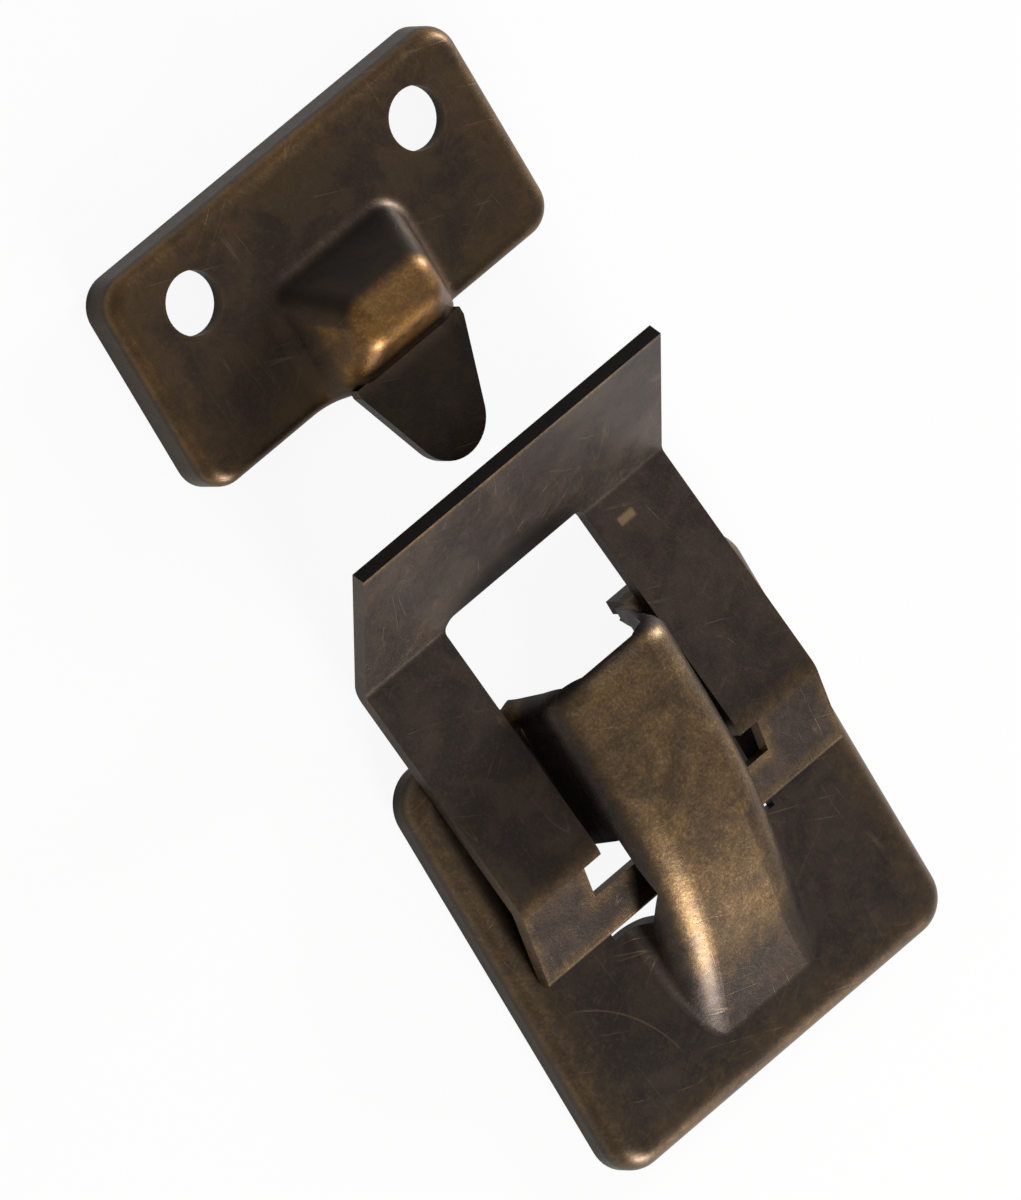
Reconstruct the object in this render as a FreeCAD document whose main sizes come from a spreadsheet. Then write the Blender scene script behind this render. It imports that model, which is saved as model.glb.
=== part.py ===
import FreeCAD, Part
import math
import os
import Sketcher

# Cupboard catch latch: a sprung catch and its strike, laid out as a pair.
# Frame: X across the pair, +Y from the catch to the strike, +Z away from the cupboard face.
# Every drawing below is made about the middle of its own plate, on the back plane Z = 0.

doc = FreeCAD.newDocument("cupboard_catch")

SIZES = [
    # the sheet and the pair
    ("sheet_thick", 0.8, "thickness of the pressed sheet"),
    ("pair_gap", 19.2, "space between the two plates as laid out"),
    # catch plate
    ("base_wide", 25.4, "catch plate across X"),
    ("base_long", 25.6, "catch plate along Y"),
    ("base_high", 2.1, "height of the catch plate's flat top"),
    ("base_corner", 2.2, "corner radius in plan"),
    ("base_shoulder", 1.3, "radius of the turned-down rim"),
    ("hump_wide", 10.2, "hump across X at its root, inside the tray"),
    ("hump_high", 6.8, "height of the hump's level top"),
    ("hump_front_top", 8.6, "hump's top across X at the front edge"),
    ("hump_bend_y", 2.5, "where the hump's top begins to fall, along Y"),
    ("hump_bend_high", 6.5, "height of the hump's top there"),
    ("hump_bend_top", 8.4, "hump's top across X there"),
    ("hump_fall_y", -5.0, "a place on the hump's rear slope, along Y"),
    ("hump_fall_high", 4.0, "height of the rear slope there"),
    ("hump_fall_top", 8.0, "rear slope across X there"),
    ("hump_rear_y", -9.8, "the hump's rear foot along Y"),
    ("hump_rear_top", 8.6, "rear slope across X at the rear foot"),
    ("hump_ridge", 2.4, "radius along the hump's long edges"),
    ("hump_foot", 0.75, "radius where the hump meets the plate"),
    ("rim_gap_wide", 9.6, "gap in the front rim under the hump"),
    ("slot_rear", -1.4, "rear end of the side slots"),
    ("slot_front", 3.9, "front end of the side slots"),
    ("slot_outer", 6.2, "outer side of the side slots from the middle"),
    ("slot_high", 5.0, "top of the side slots"),
    ("slot_peak", 0.2, "rear end of the slots' level top along Y"),
    ("slot_rear_high", 3.7, "top of the side slots at their rear end"),
    ("base_hole", 3.5, "screw hole in the catch plate"),
    ("base_hole_out", 8.5, "screw hole from the middle, across X"),
    ("base_hole_y", 6.5, "screw hole along Y"),
    # latch flap
    ("flap_wide", 22.8, "flap across X"),
    ("flap_clear", 0.1, "space between the flap and the catch plate at rest"),
    ("tail_y", -0.35, "the flap's turning edge along Y"),
    ("tail_long", 4.6, "turning edge to the rear crease"),
    ("tail_slope", 17.0, "rise of the tail in degrees"),
    ("rear_bend", 1.2, "radius of the rear crease"),
    ("arm_out", 5.4, "flat arms forward of the catch plate's front edge"),
    ("lip_bend", 1.0, "radius of the lip crease"),
    ("lip_slope", 41.0, "rise of the lip in degrees"),
    ("lip_long", 10.0, "flat length of the lip"),
    ("window_wide", 10.8, "window between the arms"),
    ("window_out", 5.8, "window forward of the catch plate's front edge"),
    ("window_corner", 0.8, "radius of the window's front corners"),
    ("notch_wide", 13.4, "across the two notches"),
    ("notch_rear", 1.85, "rear edge of the notches along Y"),
    ("notch_front", 3.7, "front edge of the notches along Y"),
    ("ear_gap", 4.4, "space between the two ears"),
    # leaf spring
    ("spring_thick", 0.3, "thickness of the spring strip"),
    ("spring_wide", 1.4, "spring along Y"),
    ("spring_rear", 0.9, "rear edge of the spring along Y"),
    ("spring_span", 6.4, "spring across X"),
    ("spring_low", 3.9, "underside of the spring's ends"),
    ("spring_high", 5.2, "top of the spring's crown, under the hump's roof"),
    # strike plate
    ("strike_wide", 26.2, "strike plate across X"),
    ("strike_long", 13.0, "strike plate along Y"),
    ("strike_high", 2.5, "height of the strike plate's flat top"),
    ("strike_corner", 1.8, "corner radius in plan"),
    ("strike_shoulder", 1.0, "radius of the turned-down rim"),
    ("bump_wide", 9.6, "bump across X at its foot"),
    ("bump_high", 6.5, "height of the bump's crown"),
    ("bump_draft", 27, "lean of the bump's sides in degrees"),
    ("bump_rear_foot", 7.2, "front edge back to the bump's rear foot"),
    ("bump_rear", 4.7, "front edge back to the rear of the crown"),
    ("bump_front", 2.3, "front edge back to the front of the crown"),
    ("bump_step", 0.5, "front edge back to the foot of the step"),
    ("bump_round", 1.6, "radius along the crown's edges"),
    ("bump_ridge", 1.6, "radius along the bump's flanks"),
    ("step_round", 0.9, "radius in the foot of the step"),
    ("bump_foot", 1.0, "radius where the bump meets the plate"),
    ("tongue_high", 4.5, "height of the tongue's top"),
    ("tongue_root", 7.8, "tongue across X at the plate's front edge"),
    ("tongue_long", 6.2, "tongue forward of the plate's front edge"),
    ("tongue_round", 2.35, "radius of the tongue's end"),
    ("strike_hole", 3.5, "screw hole in the strike plate"),
    ("strike_hole_out", 8.5, "screw hole from the middle, across X"),
    ("strike_hole_y", 2.9, "screw hole behind the middle of the strike plate"),
]

sizes = doc.addObject("Spreadsheet::Sheet", "sizes")
for row, (alias, value, note) in enumerate(SIZES, start=1):
    sizes.set("A%d" % row, note)
    sizes.set("B%d" % row, str(value))
    sizes.setAlias("B%d" % row, alias)
doc.recompute()

NAMES = sorted((entry[0] for entry in SIZES), key=len, reverse=True)


def full(text):
    """Write a formula of size names as an expression on the sheet."""
    words = []
    word = ""
    for letter in text + " ":
        if letter.isalnum() or letter == "_":
            word += letter
            continue
        words.append("sizes." + word if word in NAMES else word)
        words.append(letter)
        word = ""
    return "".join(words).strip()


def number(text):
    """Work a formula out with the sheet's present values."""
    return float(sizes.evalExpression(full(text)))


PAIR_LONG = "(base_long + pair_gap + strike_long)"
CATCH_Y = "(base_long - %s) / 2" % PAIR_LONG
STRIKE_Y = "(%s - strike_long) / 2" % PAIR_LONG
BASE_FRONT = "base_long / 2"
ARM_FRONT = "(base_long / 2 + arm_out)"
WINDOW_FRONT = "(base_long / 2 + window_out)"
ROOF = "(hump_high - sheet_thick)"
AXIS_Z = "(base_high + flap_clear + sheet_thick / 2)"


def new_body(name, middle_y):
    body = doc.addObject("PartDesign::Body", name)
    body.Label = name
    body.setExpression("Placement.Base.y", full(middle_y))
    return body


def new_sketch(body, name, role, lift=None):
    """A sketch on one of the body's own origin planes, lifted along that plane's normal."""
    sketch = body.newObject("Sketcher::SketchObject", name)
    for plane in body.Origin.OriginFeatures:
        if plane.Role == role:
            sketch.AttachmentSupport = [(plane, "")]
    sketch.MapMode = "FlatFace"
    if lift is not None:
        sketch.setExpression("AttachmentOffset.Base.z", full(lift))
    return sketch


def new_plane(body, name, lift):
    """A level working plane at a height above the back plane."""
    level = body.newObject("PartDesign::Plane", name)
    for plane in body.Origin.OriginFeatures:
        if plane.Role == "XY_Plane":
            level.AttachmentSupport = [(plane, "")]
    level.MapMode = "FlatFace"
    level.setExpression("AttachmentOffset.Base.z", full(lift))
    return level


def tie(sketch, constraint, name, formula):
    """Add a named dimension whose value comes from the sheet."""
    index = sketch.addConstraint(constraint)
    sketch.renameConstraint(index, name)
    sketch.setExpression("Constraints." + name, full(formula))


def pin(sketch, line, end, name, across, along):
    """Hold a point at a place measured from the sketch's origin."""
    tie(sketch, Sketcher.Constraint("DistanceX", -1, 1, line, end, number(across)), name + "_a", across)
    tie(sketch, Sketcher.Constraint("DistanceY", -1, 1, line, end, number(along)), name + "_b", along)


def outline(sketch, name, corners):
    """A closed outline of straight lines; each corner is a pair of formulas."""
    spots = [FreeCAD.Vector(number(a), number(b), 0) for a, b in corners]
    first = sketch.GeometryCount
    count = len(corners)
    for i in range(count):
        sketch.addGeometry(Part.LineSegment(spots[i], spots[(i + 1) % count]), False)
    for i in range(count):
        following = first + (i + 1) % count
        sketch.addConstraint(Sketcher.Constraint("Coincident", first + i, 2, following, 1))
    for i, (a, b) in enumerate(corners):
        pin(sketch, first + i, 1, "%s%d" % (name, i), a, b)


def rectangle(sketch, name, left, right, low, high):
    outline(sketch, name, [(left, low), (right, low), (right, high), (left, high)])


def circle(sketch, name, across, along, diameter):
    centre = FreeCAD.Vector(number(across), number(along), 0)
    ring = sketch.addGeometry(Part.Circle(centre, FreeCAD.Vector(0, 0, 1), number(diameter) / 2), False)
    pin(sketch, ring, 3, name, across, along)
    tie(sketch, Sketcher.Constraint("Diameter", ring, number(diameter)), name + "_d", diameter)


def pad(body, name, sketch, length, symmetric=False):
    feature = body.newObject("PartDesign::Pad", name)
    feature.Profile = sketch
    feature.SideType = "Symmetric" if symmetric else "One side"
    feature.setExpression("Length", full(length))
    doc.recompute()
    return feature


def pocket(body, name, sketch, length, reverse=False, symmetric=False):
    """Cut along the sketch's normal; the cut has to take something away."""
    before = body.Tip.Shape.Volume
    feature = body.newObject("PartDesign::Pocket", name)
    feature.Profile = sketch
    feature.SideType = "Symmetric" if symmetric else "One side"
    feature.Reversed = reverse
    feature.setExpression("Length", full(length))
    doc.recompute()
    if not feature.Shape.Volume < before - 0.01:
        raise RuntimeError(name + " cuts nothing")
    return feature


def edges_where(shape, test):
    """Names of the edges whose middle point passes the test."""
    found = []
    for i, edge in enumerate(shape.Edges, start=1):
        middle = edge.valueAt((edge.FirstParameter + edge.LastParameter) / 2)
        if test(edge, middle):
            found.append("Edge%d" % i)
    return found


def fillet(body, name, radius, test):
    base = body.Tip
    feature = body.newObject("PartDesign::Fillet", name)
    feature.Base = (base, edges_where(base.Shape, test))
    feature.setExpression("Radius", full(radius))
    doc.recompute()
    return feature


def near(a, b):
    return abs(a - b) < 0.001


def is_upright(edge):
    low = edge.BoundBox
    return low.XLength < 0.001 and low.YLength < 0.001


def hollow(body, name):
    """Leave only the sheet: open at the back plane, one thickness everywhere else."""
    base = body.Tip
    faces = []
    for i, face in enumerate(base.Shape.Faces, start=1):
        if near(face.BoundBox.ZMax, 0) and near(face.BoundBox.ZMin, 0):
            faces.append("Face%d" % i)
    feature = body.newObject("PartDesign::Thickness", name)
    feature.Base = (base, faces)
    feature.Reversed = True
    feature.Join = "Arc"
    feature.setExpression("Value", full("sheet_thick"))
    doc.recompute()
    if not feature.Shape.Volume < 0.9 * base.Shape.Volume:
        raise RuntimeError(name + " did not hollow the pressing")
    return feature


def build_catch_plate():
    body = new_body("catch_plate", CATCH_Y)
    top = number("base_high")
    front = number(BASE_FRONT)

    plan = new_sketch(body, "catch_plan", "XY_Plane")
    rectangle(plan, "edge", "-base_wide / 2", "base_wide / 2", "-base_long / 2", "base_long / 2")
    pad(body, "catch_tray", plan, "base_high")
    fillet(body, "catch_corners", "base_corner", lambda edge, mid: is_upright(edge))

    # The hump: five cross-sections from the mouth back to the rear foot, drawn into one form.
    stations = [
        ("front", BASE_FRONT, "hump_high", "hump_front_top"),
        ("level", "(base_long / 2 + hump_bend_y) / 2", "hump_high", "(hump_front_top + hump_bend_top) / 2"),
        ("bend", "hump_bend_y", "hump_bend_high", "hump_bend_top"),
        ("fall", "hump_fall_y", "hump_fall_high", "hump_fall_top"),
        ("rear", "hump_rear_y - sheet_thick / 2", "base_high - sheet_thick / 5", "hump_rear_top"),
    ]
    sections = []
    for name, along, high, wide in stations:
        section = new_sketch(body, "hump_" + name, "XZ_Plane", "-(%s)" % along)
        outline(section, name, [
            ("-hump_wide / 2", "base_high / 2"),
            ("hump_wide / 2", "base_high / 2"),
            ("(%s) / 2" % wide, high),
            ("-(%s) / 2" % wide, high),
        ])
        sections.append(section)
    hump = body.newObject("PartDesign::AdditiveLoft", "hump")
    hump.Profile = sections[0]
    hump.Sections = sections[1:]
    hump.Ruled = False
    doc.recompute()
    half = number("hump_wide / 2")
    fillet(body, "hump_ridges", "hump_ridge",
           lambda edge, mid: mid.z > top + number("sheet_thick / 2") and edge.BoundBox.YLength > front)
    fillet(body, "hump_feet", "hump_foot",
           lambda edge, mid: near(mid.z, top) and abs(mid.x) < half + 0.1 and mid.y < front - 0.1
           and mid.y > 0.1 - front)
    fillet(body, "catch_rim", "base_shoulder",
           lambda edge, mid: near(mid.z, top) and (near(abs(mid.x), number("base_wide / 2"))
                                                   or near(abs(mid.y), front)))
    hollow(body, "catch_sheet")

    # The mouth under the hump and the slots for the flap's ears.
    mouth = new_sketch(body, "mouth_front", "XZ_Plane", "-" + BASE_FRONT + " - sheet_thick")
    low_half = "(hump_wide / 2 - sheet_thick)"
    high_half = "(hump_front_top / 2 - sheet_thick)"
    corner = "(hump_ridge - sheet_thick)"
    bulge = corner + " * (1 - sqrt(0.5))"
    outline(mouth, "mouth", [
        ("-" + low_half, "-sheet_thick"),
        (low_half, "-sheet_thick"),
        (low_half, "base_high / 2"),
        (high_half, "%s - %s" % (ROOF, corner)),
        ("%s - %s" % (high_half, bulge), "%s - %s" % (ROOF, bulge)),
        ("%s - %s" % (high_half, corner), ROOF),
        ("%s - %s" % (corner, high_half), ROOF),
        ("%s - %s" % (bulge, high_half), "%s - %s" % (ROOF, bulge)),
        ("-" + high_half, "%s - %s" % (ROOF, corner)),
        ("-" + low_half, "base_high / 2"),
    ])
    pocket(body, "mouth", mouth, "base_shoulder + 2 * sheet_thick", reverse=True)
    rim_gap = new_sketch(body, "rim_gap_plan", "XY_Plane")
    rectangle(rim_gap, "gap", "-rim_gap_wide / 2", "rim_gap_wide / 2",
              BASE_FRONT + " - sheet_thick", BASE_FRONT + " + sheet_thick")
    pocket(body, "rim_gap", rim_gap, "base_high - sheet_thick / 2", reverse=True)
    slots = new_sketch(body, "slot_side", "YZ_Plane")
    outline(slots, "slot", [
        ("slot_rear", "-sheet_thick"),
        ("slot_front", "-sheet_thick"),
        ("slot_front", "slot_high"),
        ("slot_peak", "slot_high"),
        ("slot_rear", "slot_rear_high"),
    ])
    pocket(body, "side_slots", slots, "2 * slot_outer", symmetric=True)
    holes = new_sketch(body, "catch_hole_plan", "XY_Plane")
    circle(holes, "left", "-base_hole_out", "base_hole_y", "base_hole")
    circle(holes, "right", "base_hole_out", "base_hole_y", "base_hole")
    pocket(body, "catch_screw_holes", holes, "2 * base_high", reverse=True)
    return body


def build_latch_flap():
    body = new_body("latch_flap", CATCH_Y)

    # The bent strip, followed along the middle of the sheet from the turning edge to the lip's
    # free edge. The arms lie on the rounded front rim of the catch plate.
    path = new_sketch(body, "flap_path", "YZ_Plane")
    rise = math.radians(number("tail_slope"))
    lip = math.radians(number("lip_slope"))
    start = FreeCAD.Vector(number("tail_y"), number(AXIS_Z), 0)
    crease = start + number("tail_long") * FreeCAD.Vector(math.cos(rise), math.sin(rise), 0)
    rest = FreeCAD.Vector(number(BASE_FRONT + " - base_shoulder"), number("base_high - base_shoulder"), 0)
    reach = number("base_shoulder + flap_clear + sheet_thick / 2")
    gap = rest - crease
    fall = -math.atan2(gap.y, gap.x) - math.asin(reach / gap.Length)
    arm_far = crease + (number(ARM_FRONT) - crease.x) * FreeCAD.Vector(1, -math.tan(fall), 0)
    lip_far = arm_far + number("lip_long") * FreeCAD.Vector(math.cos(lip), math.sin(lip), 0)
    tail = path.addGeometry(Part.LineSegment(start, crease), False)
    arm = path.addGeometry(Part.LineSegment(crease, arm_far), False)
    hook = path.addGeometry(Part.LineSegment(arm_far, lip_far), False)
    path.addConstraint(Sketcher.Constraint("Coincident", tail, 2, arm, 1))
    path.addConstraint(Sketcher.Constraint("Coincident", arm, 2, hook, 1))
    pin(path, tail, 1, "turn", "tail_y", AXIS_Z)
    tie(path, Sketcher.Constraint("Distance", tail, number("tail_long")), "tail_long", "tail_long")
    tie(path, Sketcher.Constraint("Angle", tail, rise), "tail_slope", "tail_slope * 1 deg")
    round_rim = path.addGeometry(Part.Circle(rest, FreeCAD.Vector(0, 0, 1), reach), True)
    pin(path, round_rim, 3, "rim", BASE_FRONT + " - base_shoulder", "base_high - base_shoulder")
    tie(path, Sketcher.Constraint("Radius", round_rim, reach), "rim_reach",
        "base_shoulder + flap_clear + sheet_thick / 2")
    path.addConstraint(Sketcher.Constraint("Tangent", arm, round_rim))
    tie(path, Sketcher.Constraint("DistanceX", -1, 1, arm, 2, arm_far.x), "arm_front", ARM_FRONT)
    tie(path, Sketcher.Constraint("Angle", hook, lip), "lip_slope", "lip_slope * 1 deg")
    tie(path, Sketcher.Constraint("Distance", hook, number("lip_long")), "lip_long", "lip_long")
    doc.recompute()

    section = body.newObject("Sketcher::SketchObject", "flap_section")
    section.AttachmentSupport = [(path, "Edge1")]
    section.MapMode = "NormalToEdge"
    rectangle(section, "strip", "-flap_wide / 2", "flap_wide / 2", "-sheet_thick / 2", "sheet_thick / 2")
    strip = body.newObject("PartDesign::AdditivePipe", "flap_strip")
    strip.Profile = section
    strip.Spine = path
    strip.Transition = "Right corner"
    doc.recompute()

    # Rounded creases: the same bend seen from both faces of the sheet.
    def crease_edge(at, above):
        def test(edge, mid):
            across = edge.BoundBox.XLength > 0.9 * number("flap_wide")
            side = mid.z > at.y if above else mid.z < at.y
            return across and side and math.hypot(mid.y - at.x, mid.z - at.y) < number("sheet_thick")
        return test
    arm_end = FreeCAD.Vector(path.Shape.Vertexes[2].Point.y, path.Shape.Vertexes[2].Point.z, 0)
    fillet(body, "rear_crease_top", "rear_bend + sheet_thick / 2", crease_edge(crease, True))
    fillet(body, "rear_crease_under", "rear_bend - sheet_thick / 2", crease_edge(crease, False))
    fillet(body, "lip_crease_top", "lip_bend - sheet_thick / 2", crease_edge(arm_end, True))
    fillet(body, "lip_crease_under", "lip_bend + sheet_thick / 2", crease_edge(arm_end, False))

    # The turning edge is a full round about the hinge line.
    turn = new_sketch(body, "turning_edge_end", "YZ_Plane")
    circle(turn, "turn", "tail_y", AXIS_Z, "sheet_thick")
    pad(body, "turning_edge", turn, "flap_wide", symmetric=True)

    # The window for the hump, the two notches beside it and the space between the ears.
    window = new_sketch(body, "window_plan", "XY_Plane")
    outline(window, "window", [
        ("-ear_gap / 2", "tail_y - sheet_thick"),
        ("ear_gap / 2", "tail_y - sheet_thick"),
        ("ear_gap / 2", "notch_rear"),
        ("notch_wide / 2", "notch_rear"),
        ("notch_wide / 2", "notch_front"),
        ("window_wide / 2", "notch_front"),
        ("window_wide / 2", WINDOW_FRONT),
        ("-window_wide / 2", WINDOW_FRONT),
        ("-window_wide / 2", "notch_front"),
        ("-notch_wide / 2", "notch_front"),
        ("-notch_wide / 2", "notch_rear"),
        ("-ear_gap / 2", "notch_rear"),
    ])
    pocket(body, "window", window, "2 * hump_high", reverse=True)
    front = number(WINDOW_FRONT)
    half = number("window_wide / 2")
    fillet(body, "window_corners", "window_corner",
           lambda edge, mid: is_upright(edge) and near(mid.y, front) and near(abs(mid.x), half))
    return body


def build_leaf_spring():
    body = new_body("leaf_spring", CATCH_Y)

    # A bowed strip: its crown under the hump's roof, its two ends over the flap's ears.
    bow = new_sketch(body, "spring_bow", "XZ_Plane", "-(spring_rear + spring_wide)")
    crown = number("spring_high - spring_thick")
    low = number("spring_low")
    half = number("spring_span / 2")
    up = FreeCAD.Vector(0, 0, 1)
    rise = crown - low
    radius = (half * half + rise * rise) / (2 * rise)
    thick = number("spring_thick")
    middle = FreeCAD.Vector(0, crown - radius, 0)
    lean = math.asin(half / radius)
    inner = bow.addGeometry(Part.ArcOfCircle(Part.Circle(middle, up, radius),
                                             math.pi / 2 - lean, math.pi / 2 + lean), False)
    outer = bow.addGeometry(Part.ArcOfCircle(Part.Circle(middle, up, radius + thick),
                                             math.pi / 2 - lean, math.pi / 2 + lean), False)
    ends = []
    for side in (1, 2):
        ends.append(bow.addGeometry(Part.LineSegment(
            bow.getPoint(inner, side), bow.getPoint(outer, side)), False))
    for end, side in zip(ends, (1, 2)):
        bow.addConstraint(Sketcher.Constraint("Coincident", end, 1, inner, side))
        bow.addConstraint(Sketcher.Constraint("Coincident", end, 2, outer, side))
    bow.addConstraint(Sketcher.Constraint("Coincident", outer, 3, inner, 3))
    tie(bow, Sketcher.Constraint("Distance", ends[0], thick), "thick", "spring_thick")
    for end, side, name in zip(ends, ("", "-"), ("right", "left")):
        pin(bow, end, 1, name, side + "spring_span / 2", "spring_low")
        bow.addConstraint(Sketcher.Constraint("PointOnObject", inner, 3, end))
    bow_rise = "(spring_high - spring_thick - spring_low)"
    tie(bow, Sketcher.Constraint("Radius", outer, radius + thick), "bow",
        "((spring_span / 2)^2 + {0}^2) / (2 * {0}) + spring_thick".format(bow_rise))
    pad(body, "spring_strip", bow, "spring_wide")
    return body


def build_strike_plate():
    body = new_body("strike_plate", STRIKE_Y)
    top = number("strike_high")
    rear = number("strike_long / 2")
    front_edge = "-strike_long / 2"

    plan = new_sketch(body, "strike_plan", "XY_Plane")
    rectangle(plan, "edge", "-strike_wide / 2", "strike_wide / 2", front_edge, "strike_long / 2")
    pad(body, "strike_tray", plan, "strike_high")
    fillet(body, "strike_corners", "strike_corner", lambda edge, mid: is_upright(edge))

    # The bump, drawn from the side; its two flanks lean in towards the crown.
    side = new_sketch(body, "bump_side", "YZ_Plane")
    outline(side, "bump", [
        (front_edge, "strike_high / 2"),
        (front_edge, "tongue_high"),
        (front_edge + " + bump_step", "tongue_high"),
        (front_edge + " + bump_front", "bump_high"),
        (front_edge + " + bump_rear", "bump_high"),
        (front_edge + " + bump_rear_foot", "strike_high"),
        (front_edge + " + bump_rear_foot", "strike_high / 2"),
    ])
    blank = pad(body, "bump", side, "bump_wide", symmetric=True)
    half = number("bump_wide / 2")
    flanks = []
    for i, face in enumerate(blank.Shape.Faces, start=1):
        box = face.BoundBox
        if box.XLength < 0.001 and near(abs(box.XMin), half):
            flanks.append("Face%d" % i)
    lean = body.newObject("PartDesign::Draft", "bump_flanks")
    lean.Base = (blank, flanks)
    lean.NeutralPlane = (new_plane(body, "bump_foot_plane", "strike_high"), [""])
    lean.setExpression("Angle", full("bump_draft"))
    doc.recompute()
    if not lean.Shape.Volume < blank.Shape.Volume:
        raise RuntimeError("the bump's flanks lean the wrong way")

    front = number(front_edge)
    fillet(body, "bump_crown", "bump_round",
           lambda edge, mid: near(mid.z, number("bump_high")) and near(mid.x, 0))
    fillet(body, "bump_step_foot", "step_round",
           lambda edge, mid: near(mid.z, number("tongue_high")) and near(mid.x, 0) and mid.y > front + 0.1)
    fillet(body, "bump_ridges", "bump_ridge",
           lambda edge, mid: abs(mid.x) > 1 and mid.z > top + 0.3 and mid.y > front + 0.01)
    foot_end = number(front_edge + " + bump_rear_foot")
    fillet(body, "bump_feet", "bump_foot",
           lambda edge, mid: near(mid.z, top) and abs(mid.x) < half + 0.1
           and front + 0.1 < mid.y < foot_end + 0.1)
    fillet(body, "strike_rim", "strike_shoulder",
           lambda edge, mid: near(mid.z, top) and (near(abs(mid.x), number("strike_wide / 2"))
                                                   or near(abs(mid.y), rear)))
    hollow(body, "strike_sheet")

    # The space under the tongue, then the tongue itself.
    lean_run = "tan(bump_draft * 1 deg) * (tongue_high - sheet_thick - strike_high)"
    low_half = "(bump_wide / 2 - sheet_thick)"
    high_half = "(bump_wide / 2 - sheet_thick / cos(bump_draft * 1 deg) - %s)" % lean_run
    mouth = new_sketch(body, "strike_mouth_front", "XZ_Plane", "strike_long / 2 + sheet_thick")
    outline(mouth, "mouth", [
        ("-" + low_half, "-sheet_thick"),
        (low_half, "-sheet_thick"),
        (low_half, "strike_high - sheet_thick"),
        (high_half, "tongue_high - sheet_thick"),
        ("-" + high_half, "tongue_high - sheet_thick"),
        ("-" + low_half, "strike_high - sheet_thick"),
    ])
    pocket(body, "strike_mouth", mouth, "2 * sheet_thick + strike_shoulder")
    tongue = new_sketch(body, "tongue_plan", "XY_Plane", "tongue_high - sheet_thick")
    root = number("tongue_root / 2")
    nose = number("tongue_round")
    inside = number(front_edge + " + bump_step")
    nose_y = number(front_edge + " - tongue_long + tongue_round")
    reach = FreeCAD.Vector(root, front - nose_y, 0)
    turn = math.atan2(reach.y, reach.x) - math.acos(nose / reach.Length)
    touch = FreeCAD.Vector(nose * math.cos(turn), nose_y + nose * math.sin(turn), 0)
    spots = [
        FreeCAD.Vector(touch.x, touch.y, 0),
        FreeCAD.Vector(root, front, 0),
        FreeCAD.Vector(root, inside, 0),
        FreeCAD.Vector(-root, inside, 0),
        FreeCAD.Vector(-root, front, 0),
        FreeCAD.Vector(-touch.x, touch.y, 0),
    ]
    sides = []
    for first, second in zip(spots[:-1], spots[1:]):
        sides.append(tongue.addGeometry(Part.LineSegment(first, second), False))
    end = tongue.addGeometry(Part.ArcOfCircle(
        Part.Circle(FreeCAD.Vector(0, nose_y, 0), FreeCAD.Vector(0, 0, 1), nose),
        math.pi - turn, 2 * math.pi + turn), False)
    for first, second in zip(sides[:-1], sides[1:]):
        tongue.addConstraint(Sketcher.Constraint("Coincident", first, 2, second, 1))
    tongue.addConstraint(Sketcher.Constraint("Tangent", sides[-1], 2, end, 1))
    tongue.addConstraint(Sketcher.Constraint("Tangent", end, 2, sides[0], 1))
    pin(tongue, sides[1], 1, "right_root", "tongue_root / 2", front_edge)
    pin(tongue, sides[1], 2, "right_inside", "tongue_root / 2", front_edge + " + bump_step")
    pin(tongue, sides[3], 1, "left_inside", "-tongue_root / 2", front_edge + " + bump_step")
    pin(tongue, sides[3], 2, "left_root", "-tongue_root / 2", front_edge)
    tie(tongue, Sketcher.Constraint("Radius", end, nose), "nose", "tongue_round")
    tie(tongue, Sketcher.Constraint("DistanceY", -1, 1, end, 3, nose_y), "nose_y",
        front_edge + " - tongue_long + tongue_round")
    pad(body, "tongue", tongue, "sheet_thick")

    holes = new_sketch(body, "strike_hole_plan", "XY_Plane")
    circle(holes, "left", "-strike_hole_out", "strike_hole_y", "strike_hole")
    circle(holes, "right", "strike_hole_out", "strike_hole_y", "strike_hole")
    pocket(body, "strike_screw_holes", holes, "2 * strike_high", reverse=True)
    return body


catch_plate = build_catch_plate()
latch_flap = build_latch_flap()
leaf_spring = build_leaf_spring()
strike_plate = build_strike_plate()
doc.recompute()

os.makedirs("parts", exist_ok=True)
for item in doc.Objects:
    if "Invalid" in item.State or "Error" in item.State:
        raise RuntimeError(item.Name + " failed")
for body in (catch_plate, latch_flap, leaf_spring, strike_plate):
    shape = body.Shape
    if shape.isNull() or not shape.isValid() or len(shape.Solids) != 1:
        raise RuntimeError(body.Label + " is not one sound solid")
    print(body.Label, round(shape.Volume, 2))
    shape.exportStep("parts/" + body.Label + ".step")
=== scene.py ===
import math

import bmesh
import bpy
from mathutils import Matrix, Vector


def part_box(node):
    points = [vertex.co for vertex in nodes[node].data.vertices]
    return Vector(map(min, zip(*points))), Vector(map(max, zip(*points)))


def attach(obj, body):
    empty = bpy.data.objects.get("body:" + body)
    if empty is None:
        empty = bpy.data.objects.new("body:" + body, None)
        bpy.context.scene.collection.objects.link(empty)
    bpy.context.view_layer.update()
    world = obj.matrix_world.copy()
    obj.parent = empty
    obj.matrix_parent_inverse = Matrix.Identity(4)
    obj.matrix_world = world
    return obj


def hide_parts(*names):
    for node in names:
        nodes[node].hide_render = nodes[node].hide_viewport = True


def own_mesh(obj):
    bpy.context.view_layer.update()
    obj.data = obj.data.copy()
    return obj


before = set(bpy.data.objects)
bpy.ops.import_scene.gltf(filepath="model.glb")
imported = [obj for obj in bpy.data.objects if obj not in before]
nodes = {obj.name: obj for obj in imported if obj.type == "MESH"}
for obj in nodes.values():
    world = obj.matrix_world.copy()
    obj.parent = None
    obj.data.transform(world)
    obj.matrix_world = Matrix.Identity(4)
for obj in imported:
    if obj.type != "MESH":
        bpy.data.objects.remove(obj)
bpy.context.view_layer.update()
scene = bpy.context.scene

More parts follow.
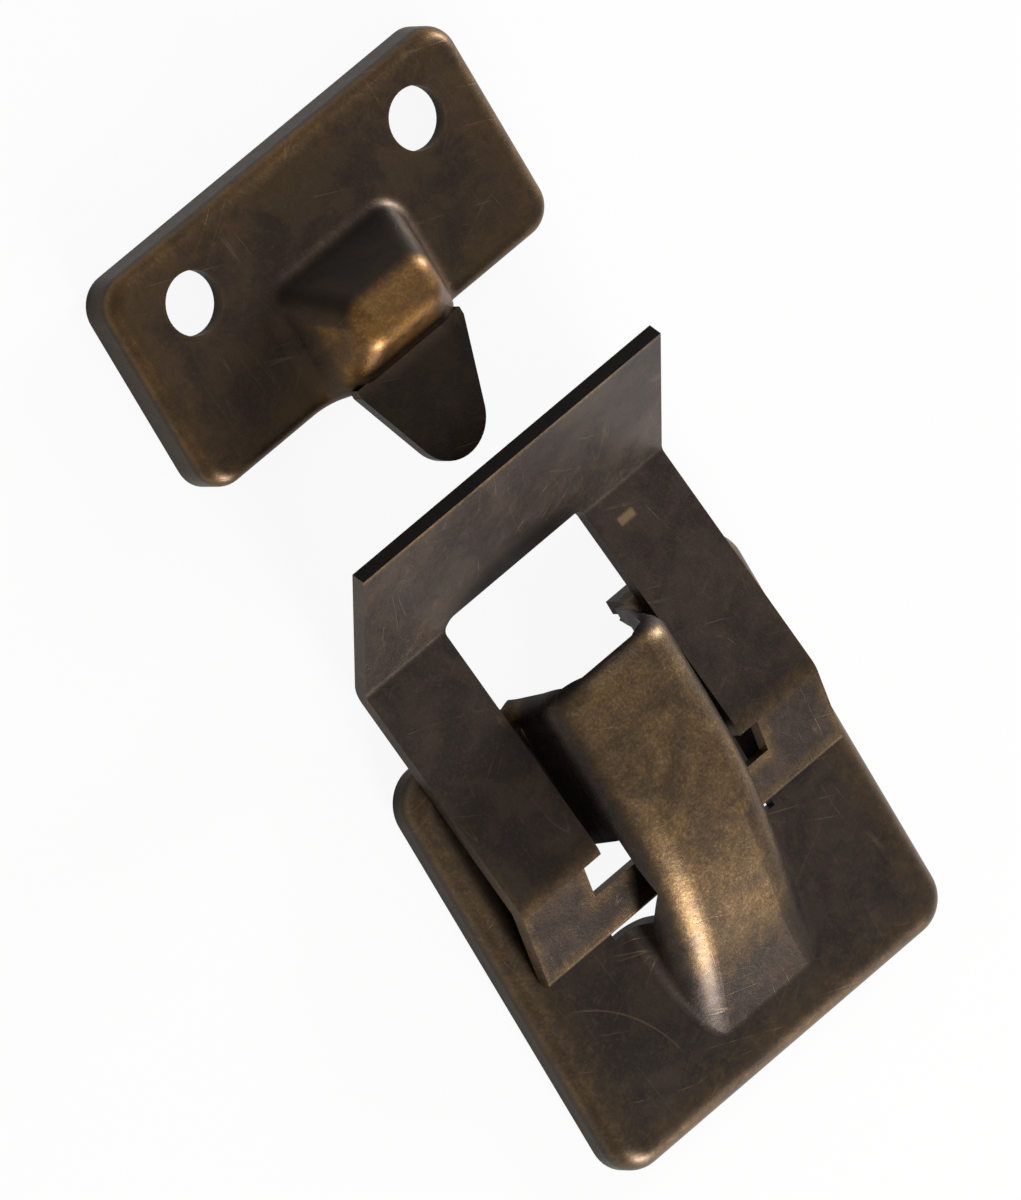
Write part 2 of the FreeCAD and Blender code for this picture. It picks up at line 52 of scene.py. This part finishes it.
# The photograph: its frame is 1021 x 1200, seen through a long lens.
LONG_SIDE = 0.06336
CAMERA_FAR = 1.5
LOOK_AT = Vector((-0.0011, 0.0010, 0.0020))
CAMERA_RIGHT = Vector((0.6855, -0.4854, 0.5432))
CAMERA_UP = Vector((0.5779, 0.8161, 0.0))

# Studio light, in metres and watts.
SKY_COLOUR = (1.0, 0.98, 0.96, 1.0)
SKY_LEVEL = 0.32
WARM_WHITE = (1.0, 0.97, 0.95)
FLOOR_HALF = 0.6
FLOOR_DROP = 0.00002
FLOOR_GREY = (0.85, 0.85, 0.85, 1.0)
FLOOR_SEEN_WHITE = 0.92
FLOOR_MIRRORED_WHITE = 0.30

# Places on the plates, in millimetres from each plate's middle.
MM = 1000.0
STRIKE_HALF_LONG = 6.5
STRIKE_HOLE_OUT = 8.5
STRIKE_HOLE_Y = 2.9
ARC_MIDDLE = (-14.35, -10.49)
ARC_RADIUS = 8.45
ARC_SPAN = (-10.4, -6.2)
REAR_CREASE_Y = 4.05
NICK_ACROSS = (6.8, 7.9)
NICK_ALONG = (16.3, 16.75)

# The hidden spring, in metres.
SPRING_THICK = 0.0003
SPRING_HALF_WIDE = 0.0032
SPRING_EDGE_HIGH = 0.0039
SPRING_STEPS = 24


def set_camera():
    right = CAMERA_RIGHT.normalized()
    back = right.cross(CAMERA_UP).normalized()
    up = back.cross(right)
    lens = bpy.data.cameras.new("photo_camera")
    lens.sensor_width = 36.0
    lens.lens = lens.sensor_width * CAMERA_FAR / LONG_SIDE
    lens.clip_start = 0.05
    lens.clip_end = 10.0
    camera = bpy.data.objects.new("photo_camera", lens)
    turn = Matrix((right, up, back)).transposed().to_4x4()
    camera.matrix_world = Matrix.Translation(LOOK_AT + back * CAMERA_FAR) @ turn
    scene.collection.objects.link(camera)
    scene.camera = camera


def add_lamp(name, place, aim, size, power, colour=(1.0, 1.0, 1.0)):
    lamp = bpy.data.lights.new(name, "AREA")
    lamp.shape = "RECTANGLE"
    lamp.size, lamp.size_y = size
    lamp.energy = power
    lamp.color = colour
    holder = bpy.data.objects.new(name, lamp)
    holder.location = place
    holder.rotation_euler = (Vector(aim) - Vector(place)).to_track_quat("-Z", "Y").to_euler()
    scene.collection.objects.link(holder)


def set_lights():
    world = bpy.data.worlds.new("studio")
    scene.world = world
    world.use_nodes = True
    world.node_tree.nodes["Background"].inputs["Color"].default_value = SKY_COLOUR
    world.node_tree.nodes["Background"].inputs["Strength"].default_value = SKY_LEVEL
    middle = (0.0, 0.0, 0.0)
    add_lamp("low_soft", (-0.02, -0.33, 0.13), middle, (0.14, 0.07), 1.5, WARM_WHITE)
    add_lamp("right_soft", (0.34, 0.08, 0.11), middle, (0.14, 0.08), 1.2)


def lay_floor():
    sheet = bmesh.new()
    just_under = Matrix.Translation((0.0, 0.0, -FLOOR_DROP))
    bmesh.ops.create_grid(sheet, x_segments=1, y_segments=1, size=FLOOR_HALF, matrix=just_under)
    mesh = bpy.data.meshes.new("floor")
    sheet.to_mesh(mesh)
    sheet.free()
    floor = bpy.data.objects.new("floor", mesh)
    scene.collection.objects.link(floor)
    paint = bpy.data.materials.new("white_card")
    paint.use_nodes = True
    tree = paint.node_tree
    tree.nodes.clear()
    out = tree.nodes.new("ShaderNodeOutputMaterial")
    mix = tree.nodes.new("ShaderNodeMixShader")
    card = tree.nodes.new("ShaderNodeBsdfDiffuse")
    card.inputs["Color"].default_value = FLOOR_GREY
    glow = tree.nodes.new("ShaderNodeEmission")
    glow.inputs["Strength"].default_value = 1.0
    rays = tree.nodes.new("ShaderNodeLightPath")
    seen = tree.nodes.new("ShaderNodeMath")
    seen.operation = "MULTIPLY"
    seen.inputs[1].default_value = FLOOR_SEEN_WHITE
    share = tree.nodes.new("ShaderNodeMath")
    share.operation = "MULTIPLY_ADD"
    share.inputs[1].default_value = FLOOR_MIRRORED_WHITE
    tree.links.new(rays.outputs["Is Camera Ray"], seen.inputs[0])
    tree.links.new(rays.outputs["Is Glossy Ray"], share.inputs[0])
    tree.links.new(seen.outputs[0], share.inputs[2])
    tree.links.new(share.outputs[0], mix.inputs["Fac"])
    tree.links.new(card.outputs[0], mix.inputs[1])
    tree.links.new(glow.outputs[0], mix.inputs[2])
    tree.links.new(mix.outputs[0], out.inputs["Surface"])
    mesh.materials.append(paint)


class Paint:
    """A material's or a group's node tree, with short ways to add to it."""

    def __init__(self, tree):
        self.tree = tree

    def node(self, kind, **settings):
        made = self.tree.nodes.new(kind)
        for name, value in settings.items():
            setattr(made, name, value)
        return made

    def join(self, source, target):
        self.tree.links.new(source, target)

    def math(self, what, first, second=None, third=None, clamp=False):
        made = self.node("ShaderNodeMath", operation=what, use_clamp=clamp)
        for socket, value in zip(made.inputs, (first, second, third)):
            if value is None:
                continue
            if isinstance(value, (int, float)):
                socket.default_value = value
            else:
                self.join(value, socket)
        return made.outputs[0]

    def times(self, first, *others):
        for other in others:
            first = self.math("MULTIPLY", first, other)
        return first

    def ramp(self, value, low, high, to_low=0.0, to_high=1.0):
        made = self.node("ShaderNodeMapRange", interpolation_type="SMOOTHSTEP")
        self.join(value, made.inputs["Value"])
        for name, number in (("From Min", low), ("From Max", high), ("To Min", to_low), ("To Max", to_high)):
            if isinstance(number, (int, float)):
                made.inputs[name].default_value = number
            else:
                self.join(number, made.inputs[name])
        return made.outputs["Result"]

    def noise(self, place, scale, detail=3.0, roughness=0.55, distortion=0.0):
        made = self.node("ShaderNodeTexNoise")
        self.join(place, made.inputs["Vector"])
        made.inputs["Scale"].default_value = scale
        made.inputs["Detail"].default_value = detail
        made.inputs["Roughness"].default_value = roughness
        made.inputs["Distortion"].default_value = distortion
        return made.outputs["Fac"]

    def blend(self, share, first, second):
        made = self.node("ShaderNodeMix", data_type="RGBA")
        if isinstance(share, (int, float)):
            made.inputs["Factor"].default_value = share
        else:
            self.join(share, made.inputs["Factor"])
        for socket, value in ((made.inputs["A"], first), (made.inputs["B"], second)):
            if isinstance(value, tuple):
                socket.default_value = (*value, 1.0)
            else:
                self.join(value, socket)
        return made.outputs["Result"]


def new_group(name, inputs, outputs):
    group = bpy.data.node_groups.new(name, "ShaderNodeTree")
    for label, kind, value in inputs:
        socket = group.interface.new_socket(label, in_out="INPUT", socket_type=kind)
        if value is not None:
            socket.default_value = value
    for label, kind in outputs:
        group.interface.new_socket(label, in_out="OUTPUT", socket_type=kind)
    paint = Paint(group)
    return group, paint, paint.node("NodeGroupInput"), paint.node("NodeGroupOutput")


def make_mottle():
    """Brown mottling of the aged skin, in millimetres: broad clouds, fine specks and grain."""
    group, paint, start, end = new_group(
        "aged_mottle",
        [("Place", "NodeSocketVector", None)],
        [("Clouds", "NodeSocketFloat"), ("Specks", "NodeSocketFloat"), ("Grain", "NodeSocketFloat")])
    place = start.outputs["Place"]
    paint.join(paint.noise(place, 0.30, 5.0, 0.62, 0.6), end.inputs["Clouds"])
    paint.join(paint.noise(place, 1.3, 7.0, 0.74, 0.5), end.inputs["Specks"])
    paint.join(paint.noise(place, 5.5, 5.0, 0.72, 0.3), end.inputs["Grain"])
    return group


def make_scratches():
    """Single hair scratches that wander along one way and come and go over the surface."""
    group, paint, start, end = new_group(
        "hair_scratches",
        [("Place", "NodeSocketVector", None), ("Turn", "NodeSocketFloat", 0.0),
         ("Amount", "NodeSocketFloat", 0.5)],
        [("Scratch", "NodeSocketFloat")])
    spin = paint.node("ShaderNodeVectorRotate", rotation_type="Z_AXIS")
    paint.join(start.outputs["Place"], spin.inputs["Vector"])
    paint.join(start.outputs["Turn"], spin.inputs["Angle"])
    pull = paint.node("ShaderNodeVectorMath", operation="MULTIPLY")
    paint.join(spin.outputs["Vector"], pull.inputs[0])
    pull.inputs[1].default_value = (0.05, 0.60, 0.2)
    lines = paint.noise(pull.outputs["Vector"], 1.0, 1.0, 0.5, 0.25)
    thin = paint.ramp(paint.math("ABSOLUTE", paint.math("SUBTRACT", lines, 0.5)), 0.0, 0.011, 1.0, 0.0)
    where = paint.ramp(paint.noise(spin.outputs["Vector"], 0.35, 3.0, 0.6), 0.50, 0.68)
    kept = paint.math("MULTIPLY", paint.math("MULTIPLY", thin, where), start.outputs["Amount"], clamp=True)
    paint.join(kept, end.inputs["Scratch"])
    return group


def make_rub():
    """Where handling rubs the dark skin off: a broken, speckled edge to any soft mask."""
    group, paint, start, end = new_group(
        "rubbed_through",
        [("Mask", "NodeSocketFloat", 0.0), ("Specks", "NodeSocketFloat", 0.5),
         ("Grain", "NodeSocketFloat", 0.5)],
        [("Rub", "NodeSocketFloat")])
    broken = paint.math("MULTIPLY_ADD", start.outputs["Specks"], 1.2, -0.6)
    broken = paint.math("MULTIPLY_ADD", start.outputs["Grain"], 0.4, paint.math("SUBTRACT", broken, 0.2))
    felt = paint.math("ADD", broken, start.outputs["Mask"])
    shown = paint.ramp(felt, -0.05, 1.05)
    paint.join(paint.math("MULTIPLY", shown, paint.ramp(start.outputs["Mask"], 0.0, 0.3)), end.inputs["Rub"])
    return group


set_camera()
set_lights()
lay_floor()
mottle_group = make_mottle()
scratch_group = make_scratches()
rub_group = make_rub()

# Colours of the aged skin and of the brass under it.
SKIN_DARK = (0.044, 0.036, 0.033)
SKIN_BROWN = (0.068, 0.051, 0.042)
BRASS = (0.178, 0.106, 0.043)
BRASS_PALE = (0.330, 0.222, 0.120)
RUBBED_THIN = (0.130, 0.082, 0.036)
# Painted shade colour; on the strike it also darkens the tongue.
SHADE_AND_DARK = (0.012, 0.010, 0.009)


def aged_sheet(name, middle_y, rub_mask, dark=SKIN_DARK, brown=SKIN_BROWN, brass=BRASS, pale=BRASS_PALE,
               thin=RUBBED_THIN, shade_and_dark_mask=None, mark_mask=None, scratch=0.6):
    """Dark aged brass sheet. rub_mask gives where brass shows through, mark_mask the single scratches
    and nicks, and shade_and_dark_mask painted shade, plus on the strike a darker tongue. Lightly rubbed skin
    shows the thin colour first."""
    material = bpy.data.materials.new(name)
    material.use_nodes = True
    paint = Paint(material.node_tree)
    metal = material.node_tree.nodes["Principled BSDF"]
    where = paint.node("ShaderNodeTexCoord")
    to_mm = paint.node("ShaderNodeVectorMath", operation="SCALE")
    paint.join(where.outputs["Object"], to_mm.inputs[0])
    to_mm.inputs["Scale"].default_value = MM
    from_middle = paint.node("ShaderNodeVectorMath", operation="SUBTRACT")
    paint.join(to_mm.outputs["Vector"], from_middle.inputs[0])
    from_middle.inputs[1].default_value = (0.0, middle_y, 0.0)
    place = from_middle.outputs["Vector"]
    spot = paint.node("ShaderNodeSeparateXYZ")
    paint.join(place, spot.inputs[0])
    facing = paint.node("ShaderNodeSeparateXYZ")
    paint.join(where.outputs["Normal"], facing.inputs[0])

    mottle = paint.node("ShaderNodeGroup", node_tree=mottle_group)
    paint.join(place, mottle.inputs["Place"])
    lines = None
    for turn in (0.4, 1.5, 2.6):
        scratches = paint.node("ShaderNodeGroup", node_tree=scratch_group)
        paint.join(place, scratches.inputs["Place"])
        scratches.inputs["Turn"].default_value = turn
        scratches.inputs["Amount"].default_value = scratch
        found = scratches.outputs["Scratch"]
        lines = found if lines is None else paint.math("MAXIMUM", lines, found)

    rub = paint.node("ShaderNodeGroup", node_tree=rub_group)
    rubbed = rub_mask(paint, spot, facing)
    paint.join(rubbed, rub.inputs["Mask"])
    paint.join(mottle.outputs["Specks"], rub.inputs["Specks"])
    paint.join(mottle.outputs["Grain"], rub.inputs["Grain"])
    worn = rub.outputs["Rub"]

    skin = paint.blend(paint.ramp(mottle.outputs["Clouds"], 0.40, 0.62), dark, brown)
    skin = paint.blend(paint.ramp(mottle.outputs["Specks"], 0.54, 0.80, 0.0, 0.5), skin, thin)
    skin = paint.blend(paint.ramp(mottle.outputs["Grain"], 0.50, 0.70, 0.0, 0.50), skin, thin)
    bare = paint.blend(paint.ramp(mottle.outputs["Grain"], 0.40, 0.75), brass, pale)
    bare = paint.blend(paint.ramp(mottle.outputs["Clouds"], 0.62, 0.38, 0.0, 0.6), bare, brown)
    bare = paint.blend(paint.ramp(rubbed, 0.36, 0.75), thin, bare)
    colour = paint.blend(worn, skin, bare)
    colour = paint.blend(paint.math("MULTIPLY", lines, 0.32), colour, BRASS_PALE)
    if mark_mask is not None:
        colour = paint.blend(mark_mask(paint, spot, facing), colour, BRASS_PALE)
    # Painted shade, and on the strike a darker tongue, darken the colour here.
    if shade_and_dark_mask is not None:
        colour = paint.blend(shade_and_dark_mask(paint, spot, facing), colour, SHADE_AND_DARK)
    paint.join(colour, metal.inputs["Base Color"])
    metal.inputs["Metallic"].default_value = 0.90
    metal.inputs["Coat Weight"].default_value = 0.09
    metal.inputs["Coat Roughness"].default_value = 0.24
    paint.join(paint.math("MULTIPLY_ADD", mottle.outputs["Specks"], 0.24, 0.30), metal.inputs["Roughness"])
    bump = paint.node("ShaderNodeBump")
    bump.inputs["Strength"].default_value = 0.40
    bump.inputs["Distance"].default_value = 0.00005
    height = paint.math("MULTIPLY_ADD", mottle.outputs["Grain"], 0.5, mottle.outputs["Specks"])
    paint.join(paint.math("MULTIPLY_ADD", lines, -0.6, height), bump.inputs["Height"])
    paint.join(bump.outputs["Normal"], metal.inputs["Normal"])
    return material


def largest(paint, *masks):
    found = masks[0]
    for mask in masks[1:]:
        found = paint.math("MAXIMUM", found, mask)
    return found


def near_line(paint, value, at, reach):
    """One on the line where value equals at, falling to nothing within reach."""
    return paint.ramp(paint.math("ABSOLUTE", paint.math("SUBTRACT", value, at)), 0.0, reach, 1.0, 0.0)


def inside(paint, value, low, high, soft=0.05):
    """One between low and high, with soft ends."""
    return paint.times(paint.ramp(value, low - soft, low + soft),
                       paint.ramp(value, high - soft, high + soft, 1.0, 0.0))


def from_spot(paint, across, along):
    """The distance whose parts across and along are given."""
    return paint.math("SQRT", paint.math("MULTIPLY_ADD", across, across, paint.times(along, along)))


def shoulder_rub(paint, spot, facing, half_wide, half_long):
    """The turned-down shoulders, and a worn border that fades in towards the plate's edges."""
    up = facing.outputs["Z"]
    shoulder = paint.times(paint.ramp(up, 0.97, 0.86), paint.ramp(up, 0.15, 0.5))
    from_side = paint.math("SUBTRACT", half_wide, paint.math("ABSOLUTE", spot.outputs["X"]))
    from_end = paint.math("SUBTRACT", half_long, paint.math("ABSOLUTE", spot.outputs["Y"]))
    border = paint.ramp(paint.math("MINIMUM", from_side, from_end), 4.0, 0.8)
    low = paint.ramp(spot.outputs["Z"], 3.4, 2.8)
    return paint.times(border, low, paint.math("MULTIPLY_ADD", shoulder, 0.14, 0.40))


def wall_painted_shade(paint, spot, facing):
    """Painted shade down the plates' steep outer walls."""
    steep = paint.ramp(facing.outputs["Z"], 0.40, 0.05)
    return paint.times(steep, paint.ramp(spot.outputs["Z"], 2.6, 1.9), 0.6)


def plate_rub(paint, spot, facing):
    """The base's border and the hump's crown."""
    border = shoulder_rub(paint, spot, facing, plate_half_wide, plate_half_long)
    raised = paint.ramp(spot.outputs["Z"], 2.3, 4.7)
    from_rear = paint.ramp(spot.outputs["Y"], -9.0, -6.0, 0.55, 0.78)
    crown = paint.times(raised, paint.ramp(facing.outputs["Z"], 0.45, 0.85), from_rear)
    return largest(paint, border, crown)


def plate_marks(paint, spot, facing):
    """The long curved scratch on the left of the base."""
    across = paint.math("SUBTRACT", spot.outputs["X"], ARC_MIDDLE[0])
    along = paint.math("SUBTRACT", spot.outputs["Y"], ARC_MIDDLE[1])
    arc = near_line(paint, from_spot(paint, across, along), ARC_RADIUS, 0.09)
    span = inside(paint, spot.outputs["X"], *ARC_SPAN, 0.5)
    flat = paint.ramp(facing.outputs["Z"], 0.9, 0.98)
    return paint.times(arc, span, flat, paint.ramp(spot.outputs["Y"], -9.0, -8.2), 0.28)


def plate_painted_shade(paint, spot, facing):
    """Painted shade on the hump's steep walls and down the plate's outer walls."""
    steep = paint.ramp(facing.outputs["Z"], 0.45, 0.15)
    hump = paint.times(steep, paint.ramp(spot.outputs["Z"], 2.4, 3.2), 0.5)
    return largest(paint, hump, wall_painted_shade(paint, spot, facing))


def strike_rub(paint, spot, facing):
    """The strike's border, the edges of its holes, and the bump's crown and front flank."""
    border = shoulder_rub(paint, spot, facing, strike_half_wide, STRIKE_HALF_LONG)
    raised = paint.ramp(spot.outputs["Z"], 3.8, 6.4)
    crown = paint.times(raised, paint.ramp(facing.outputs["Z"], 0.15, 0.9), 0.9)
    turned_forward = paint.ramp(facing.outputs["Y"], 0.3, -0.1)
    behind_tongue = paint.ramp(spot.outputs["Y"], -6.4, -5.2)
    outside = paint.ramp(facing.outputs["Z"], -0.1, 0.1, 0.0, 0.80)
    flank = paint.times(paint.ramp(spot.outputs["Z"], 3.0, 4.6), turned_forward, behind_tongue, outside)
    across = paint.math("SUBTRACT", paint.math("ABSOLUTE", spot.outputs["X"]), STRIKE_HOLE_OUT)
    along = paint.math("SUBTRACT", spot.outputs["Y"], STRIKE_HOLE_Y)
    hole_edge = paint.ramp(from_spot(paint, across, along), 2.15, 1.8, 0.0, 0.42)
    return largest(paint, border, flank, hole_edge, crown)


def strike_shade_and_dark_tongue(paint, spot, facing):
    """Painted shade on the bump's faces turned back and down the plate's outer walls, and a darker tongue.
    """
    # Painted shade on faces turned back behind the bump.
    turned_back = paint.ramp(facing.outputs["Y"], 0.25, 0.7)
    behind = paint.times(turned_back, inside(paint, spot.outputs["Z"], 2.6, 6.0, 0.4), 0.75)
    tongue = paint.ramp(spot.outputs["Y"], -6.0, -7.0, 0.0, 0.62)
    return largest(paint, behind, tongue, wall_painted_shade(paint, spot, facing))


def flap_rub(paint, spot, facing):
    """The rear crease, the outer sides, the tail's end, the notches and a fringe along the lip."""
    side = paint.math("ABSOLUTE", spot.outputs["X"])
    along = spot.outputs["Y"]
    crease = paint.times(near_line(paint, along, REAR_CREASE_Y, 1.1), 0.60)
    outer = paint.times(paint.ramp(side, 10.6, 11.3), paint.ramp(along, 9.0, 3.5, 0.15, 0.55))
    tail_end = paint.times(paint.ramp(along, 0.5, -0.4), 0.50)
    notch = paint.times(paint.ramp(side, 8.2, 6.7), inside(paint, along, 1.2, 4.4, 0.4), 0.62)
    fringe = paint.times(paint.ramp(spot.outputs["Z"], 8.05, 8.22), 0.85)
    return largest(paint, crease, outer, tail_end, notch, fringe)


def flap_marks(paint, spot, facing):
    """The bright nick on the upper face of the right arm."""
    across = inside(paint, spot.outputs["X"], *NICK_ACROSS, 0.12)
    along = inside(paint, spot.outputs["Y"], *NICK_ALONG, 0.12)
    return paint.times(across, along, paint.ramp(facing.outputs["Z"], 0.5, 0.9, 0.0, 0.9))


def flap_painted_shade(paint, spot, facing):
    """Painted shade on the face of the lip's free edge, and on the lip's face, darker towards its right end.
    """
    # Painted shade on the lip's forward-facing free-edge face.
    turned_forward = paint.ramp(facing.outputs["Y"], 0.6, 0.7)
    shaded_edge_face = paint.times(turned_forward, paint.ramp(spot.outputs["Z"], 7.3, 7.6))
    lip = paint.ramp(spot.outputs["Z"], 3.6, 5.0)
    # Painted shade on the lip's face, growing towards its right end.
    right_end = paint.times(lip, paint.ramp(spot.outputs["X"], 0.0, 10.0, 0.06, 0.40))
    return largest(paint, shaded_edge_face, right_end)


def dress(node, material):
    mesh = nodes[node].data
    mesh.materials.clear()
    mesh.materials.append(material)


def bow_spring():
    """The hidden leaf spring: a bowed strip in the leaf spring part's place, fixed to the catch."""
    low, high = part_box("leaf_spring")
    under = high.z - SPRING_THICK
    rise = under - SPRING_EDGE_HIGH
    radius = (SPRING_HALF_WIDE ** 2 + rise ** 2) / (2.0 * rise)
    outer = radius + SPRING_THICK
    middle = Vector((0.0, 0.0, under - radius))
    lean = math.asin(SPRING_HALF_WIDE / radius)
    strip = bmesh.new()
    corners = []
    for out, y in ((radius, low.y), (outer, low.y), (outer, high.y), (radius, high.y)):
        corners.append(strip.verts.new(middle + Vector((math.sin(lean) * out, y, math.cos(lean) * out))))
    start = strip.faces.new(corners)
    bmesh.ops.spin(strip, geom=[start], cent=middle, axis=(0.0, 1.0, 0.0), angle=-2.0 * lean,
                   steps=SPRING_STEPS, use_duplicate=False)
    bmesh.ops.recalc_face_normals(strip, faces=strip.faces)
    mesh = bpy.data.meshes.new("bowed_spring")
    strip.to_mesh(mesh)
    strip.free()
    spring = bpy.data.objects.new("bowed_spring", mesh)
    scene.collection.objects.link(spring)
    steel = bpy.data.materials.new("spring_steel")
    steel.use_nodes = True
    paint = Paint(steel.node_tree)
    metal = steel.node_tree.nodes["Principled BSDF"]
    where = paint.node("ShaderNodeTexCoord")
    stretch = paint.node("ShaderNodeVectorMath", operation="MULTIPLY")
    paint.join(where.outputs["Object"], stretch.inputs[0])
    stretch.inputs[1].default_value = (400.0, 6000.0, 400.0)
    brushed = paint.noise(stretch.outputs["Vector"], 1.0, 3.0)
    paint.join(paint.blend(brushed, (0.20, 0.19, 0.18), (0.42, 0.41, 0.39)), metal.inputs["Base Color"])
    metal.inputs["Metallic"].default_value = 1.0
    paint.join(paint.ramp(brushed, 0.2, 0.8, 0.28, 0.45), metal.inputs["Roughness"])
    mesh.materials.append(steel)
    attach(spring, "catch")
    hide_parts("leaf_spring")
    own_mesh(spring)


plate_low, plate_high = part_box("catch_plate")
plate_middle = (plate_low + plate_high) * (MM / 2.0)
plate_half_wide = plate_high.x * MM
plate_half_long = plate_high.y * MM - plate_middle.y
strike_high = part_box("strike_plate")[1]
strike_half_wide = strike_high.x * MM
strike_middle_y = strike_high.y * MM - STRIKE_HALF_LONG
dress("catch_plate", aged_sheet("plate_brass", plate_middle.y, plate_rub, shade_and_dark_mask=plate_painted_shade,
                                mark_mask=plate_marks))
dress("latch_flap", aged_sheet("flap_brass", plate_middle.y, flap_rub, dark=(0.050, 0.039, 0.035),
                               brown=(0.076, 0.056, 0.045), shade_and_dark_mask=flap_painted_shade, mark_mask=flap_marks))
dress("strike_plate", aged_sheet("strike_brass", strike_middle_y, strike_rub, dark=(0.060, 0.042, 0.034),
                                 brown=(0.094, 0.063, 0.041), brass=(0.252, 0.123, 0.031),
                                 pale=(0.370, 0.212, 0.080), thin=(0.130, 0.080, 0.034),
                                 shade_and_dark_mask=strike_shade_and_dark_tongue))
bow_spring()

scene.view_settings.view_transform = "Standard"
